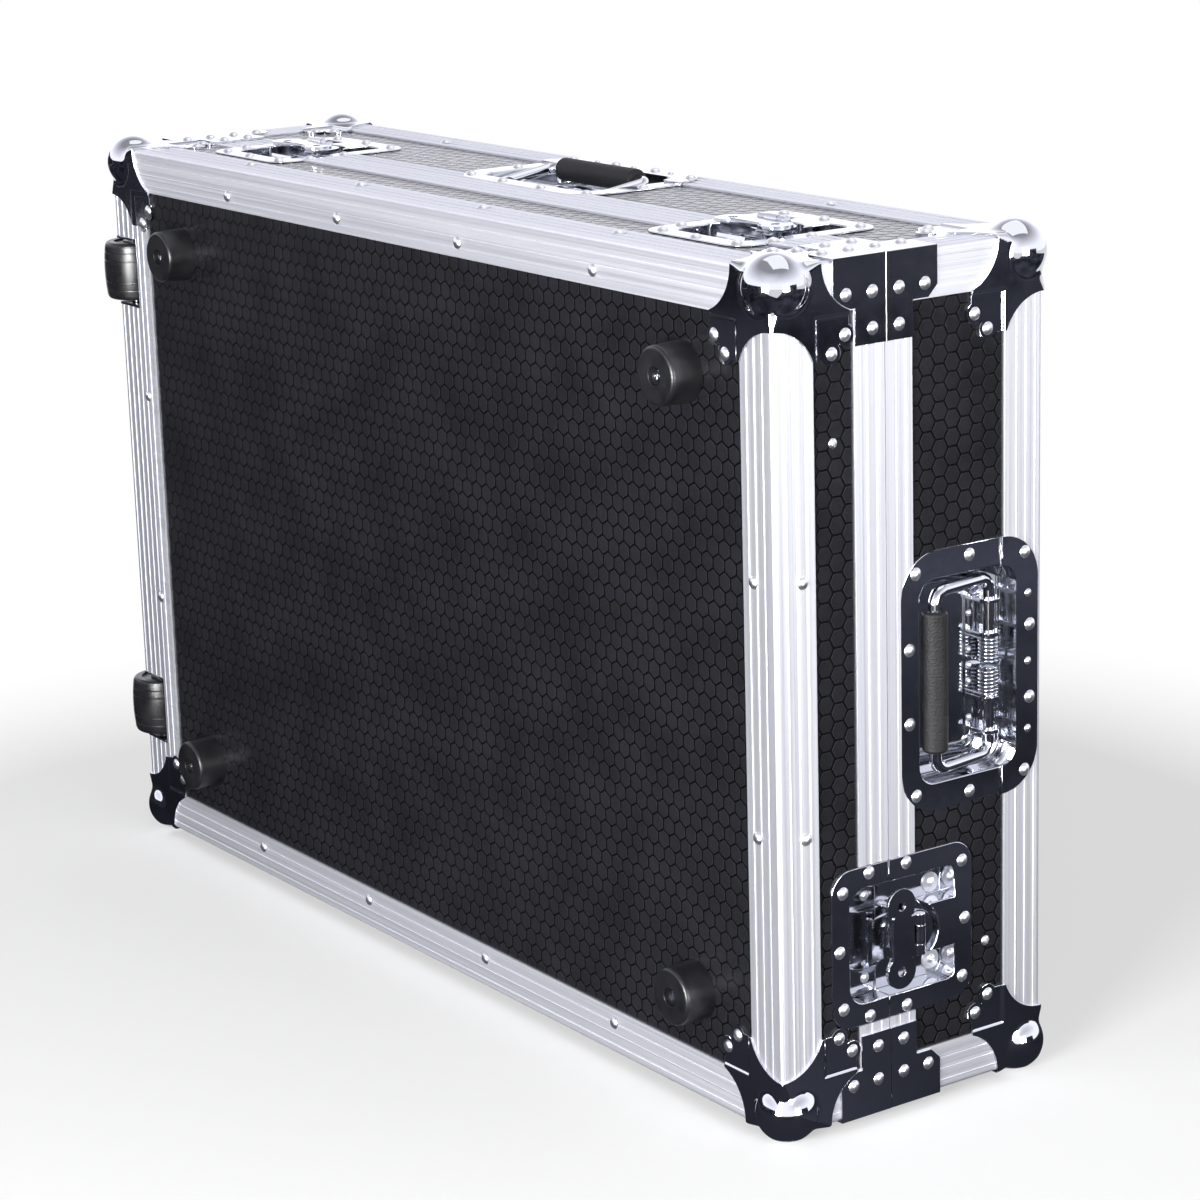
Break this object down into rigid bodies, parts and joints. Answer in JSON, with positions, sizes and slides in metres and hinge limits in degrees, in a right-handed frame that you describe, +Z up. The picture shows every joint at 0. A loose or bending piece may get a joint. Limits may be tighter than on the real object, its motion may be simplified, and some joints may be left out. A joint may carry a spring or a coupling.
{
  "type": "dj controller case",
  "caption": "Flight case of black laminate boards in fluted aluminium edging, with ball corners, a lift-off lid, butterfly latches, sprung handles, rubber feet and edge wheels",
  "frame": {"origin": "middle of the case's bounding box, on the floor that its back side stands on", "axes": "+Z up with the case parked on its long back side, X along its length with the wheels at -X, and +Y from the face with the rubber feet to the lid's face"},
  "size_m": [0.8264, 0.2325, 0.541],
  "materials": {
    "laminate": "black phenolic laminate on birch plywood, pressed honeycomb pattern",
    "aluminium": "extruded, fluted, satin",
    "steel": "pressed steel, zinc-nickel plated, bright",
    "bright_rivet": "domed rivet heads, nickel plated",
    "rubber": "moulded black rubber, satin",
    "grip": "moulded black rubber, matte",
    "wheel": "black nylon, satin",
    "foam": "closed-cell foam, dark grey, matte"
  },
  "bodies": {
    "tray": {"tray_board": "laminate", "tray_front_wall": "laminate", "tray_back_wall": "laminate", "tray_right_wall": "laminate", "tray_left_wall": "laminate", "tray_edge_angles": "aluminium", "tray_parting_profile": "aluminium", "tray_ball_corners": "steel", "tray_corner_braces": "steel", "tray_rivets": "bright_rivet", "tray_latch_dishes": "steel", "tray_foam_floor": "foam", "tray_foam_sides": "foam", "wheel_end_angle": "aluminium", "rubber_feet": "rubber", "foot_screws": "steel", "wheel_brackets": "steel", "wheel_axles": "steel", "latch_keepers": "steel"},
    "lid": {"lid_board": "laminate", "lid_front_wall": "laminate", "lid_back_wall": "laminate", "lid_right_wall": "laminate", "lid_left_wall": "laminate", "lid_edge_angles": "aluminium", "lid_parting_profile": "aluminium", "lid_ball_corners": "steel", "lid_corner_braces": "steel", "lid_rivets": "bright_rivet", "lid_latch_dishes": "steel", "lid_foam_top": "foam", "lid_foam_sides": "foam", "front_handle_dish": "steel", "right_handle_dish": "steel", "left_handle_dish": "steel", "handle_hinge_brackets": "steel", "handle_springs": "steel"},
    "front_handle": {"front_handle_bail": "steel", "front_handle_grip": "grip"},
    "right_handle": {"right_handle_bail": "steel", "right_handle_grip": "grip"},
    "left_handle": {"left_handle_bail": "steel", "left_handle_grip": "grip"},
    "upper_wheel": {"upper_wheel": "wheel"},
    "lower_wheel": {"lower_wheel": "wheel"},
    "front_left_spindle": {"front_left_spindle": "steel"},
    "front_left_wing": {"front_left_wing": "steel"},
    "front_left_hook": {"front_left_hook": "steel"},
    "front_right_spindle": {"front_right_spindle": "steel"},
    "front_right_wing": {"front_right_wing": "steel"},
    "front_right_hook": {"front_right_hook": "steel"},
    "right_end_spindle": {"right_end_spindle": "steel"},
    "right_end_wing": {"right_end_wing": "steel"},
    "right_end_hook": {"right_end_hook": "steel"},
    "left_end_spindle": {"left_end_spindle": "steel"},
    "left_end_wing": {"left_end_wing": "steel"},
    "left_end_hook": {"left_end_hook": "steel"}
  },
  "joints": [
    {"name": "lid_lift", "type": "slide", "parent": "tray", "child": "lid", "axis": [0, 1, 0], "range_m": [0, 0.25]},
    {"name": "upper_wheel_spin", "type": "hinge", "parent": "tray", "child": "upper_wheel", "pos_m": [-0.39025, -0.08425, 0.4405], "axis": [0, 0, 1], "continuous": true},
    {"name": "lower_wheel_spin", "type": "hinge", "parent": "tray", "child": "lower_wheel", "pos_m": [-0.39025, -0.08425, 0.1005], "axis": [0, 0, 1], "continuous": true},
    {"name": "front_handle_swing", "type": "hinge", "parent": "lid", "child": "front_handle", "pos_m": [0.00575, 0.02025, 0.5255], "axis": [1, 0, 0], "range_deg": [0, 80], "stiffness_Nm_per_rad": 0.35},
    {"name": "right_handle_swing", "type": "hinge", "parent": "lid", "child": "right_handle", "pos_m": [0.39775, 0.07275, 0.2705], "axis": [0, 0, 1], "range_deg": [0, 80], "stiffness_Nm_per_rad": 0.35},
    {"name": "left_handle_swing", "type": "hinge", "parent": "lid", "child": "left_handle", "pos_m": [-0.38625, 0.07275, 0.2705], "axis": [0, 0, -1], "range_deg": [0, 80], "stiffness_Nm_per_rad": 0.35},
    {"name": "front_left_turn", "type": "hinge", "parent": "lid", "child": "front_left_spindle", "pos_m": [-0.26425, 0.00775, 0.5335], "axis": [0, 0, 1], "range_deg": [0, 180]},
    {"name": "front_left_wing_fold", "type": "hinge", "parent": "front_left_spindle", "child": "front_left_wing", "pos_m": [-0.26425, 0.00775, 0.5371], "axis": [-1, 0, 0], "range_deg": [0, 90]},
    {"name": "front_left_hook_draw", "type": "hinge", "parent": "lid", "child": "front_left_hook", "pos_m": [-0.26425, -0.00425, 0.5253], "axis": [1, 0, 0], "range_deg": [0, 14]},
    {"name": "front_right_turn", "type": "hinge", "parent": "lid", "child": "front_right_spindle", "pos_m": [0.27575, 0.00775, 0.5335], "axis": [0, 0, 1], "range_deg": [0, 180]},
    {"name": "front_right_wing_fold", "type": "hinge", "parent": "front_right_spindle", "child": "front_right_wing", "pos_m": [0.27575, 0.00775, 0.5371], "axis": [-1, 0, 0], "range_deg": [0, 90]},
    {"name": "front_right_hook_draw", "type": "hinge", "parent": "lid", "child": "front_right_hook", "pos_m": [0.27575, -0.00425, 0.5253], "axis": [1, 0, 0], "range_deg": [0, 14]},
    {"name": "right_end_turn", "type": "hinge", "parent": "lid", "child": "right_end_spindle", "pos_m": [0.40575, 0.00775, 0.1155], "axis": [1, 0, 0], "range_deg": [0, 180]},
    {"name": "right_end_wing_fold", "type": "hinge", "parent": "right_end_spindle", "child": "right_end_wing", "pos_m": [0.40935, 0.00775, 0.1155], "axis": [0, 0, 1], "range_deg": [0, 90]},
    {"name": "right_end_hook_draw", "type": "hinge", "parent": "lid", "child": "right_end_hook", "pos_m": [0.39755, -0.00425, 0.1155], "axis": [0, 0, -1], "range_deg": [0, 14]},
    {"name": "left_end_turn", "type": "hinge", "parent": "lid", "child": "left_end_spindle", "pos_m": [-0.39425, 0.00775, 0.1155], "axis": [-1, 0, 0], "range_deg": [0, 180]},
    {"name": "left_end_wing_fold", "type": "hinge", "parent": "left_end_spindle", "child": "left_end_wing", "pos_m": [-0.39785, 0.00775, 0.1155], "axis": [0, 0, -1], "range_deg": [0, 90]},
    {"name": "left_end_hook_draw", "type": "hinge", "parent": "lid", "child": "left_end_hook", "pos_m": [-0.38605, -0.00425, 0.1155], "axis": [0, 0, 1], "range_deg": [0, 14]}
  ],
  "couplings": [
    {"joint": "front_left_hook_draw", "follows": "front_left_turn", "ratio": 0.077778},
    {"joint": "front_right_hook_draw", "follows": "front_right_turn", "ratio": 0.077778},
    {"joint": "right_end_hook_draw", "follows": "right_end_turn", "ratio": 0.077778},
    {"joint": "left_end_hook_draw", "follows": "left_end_turn", "ratio": 0.077778}
  ]
}
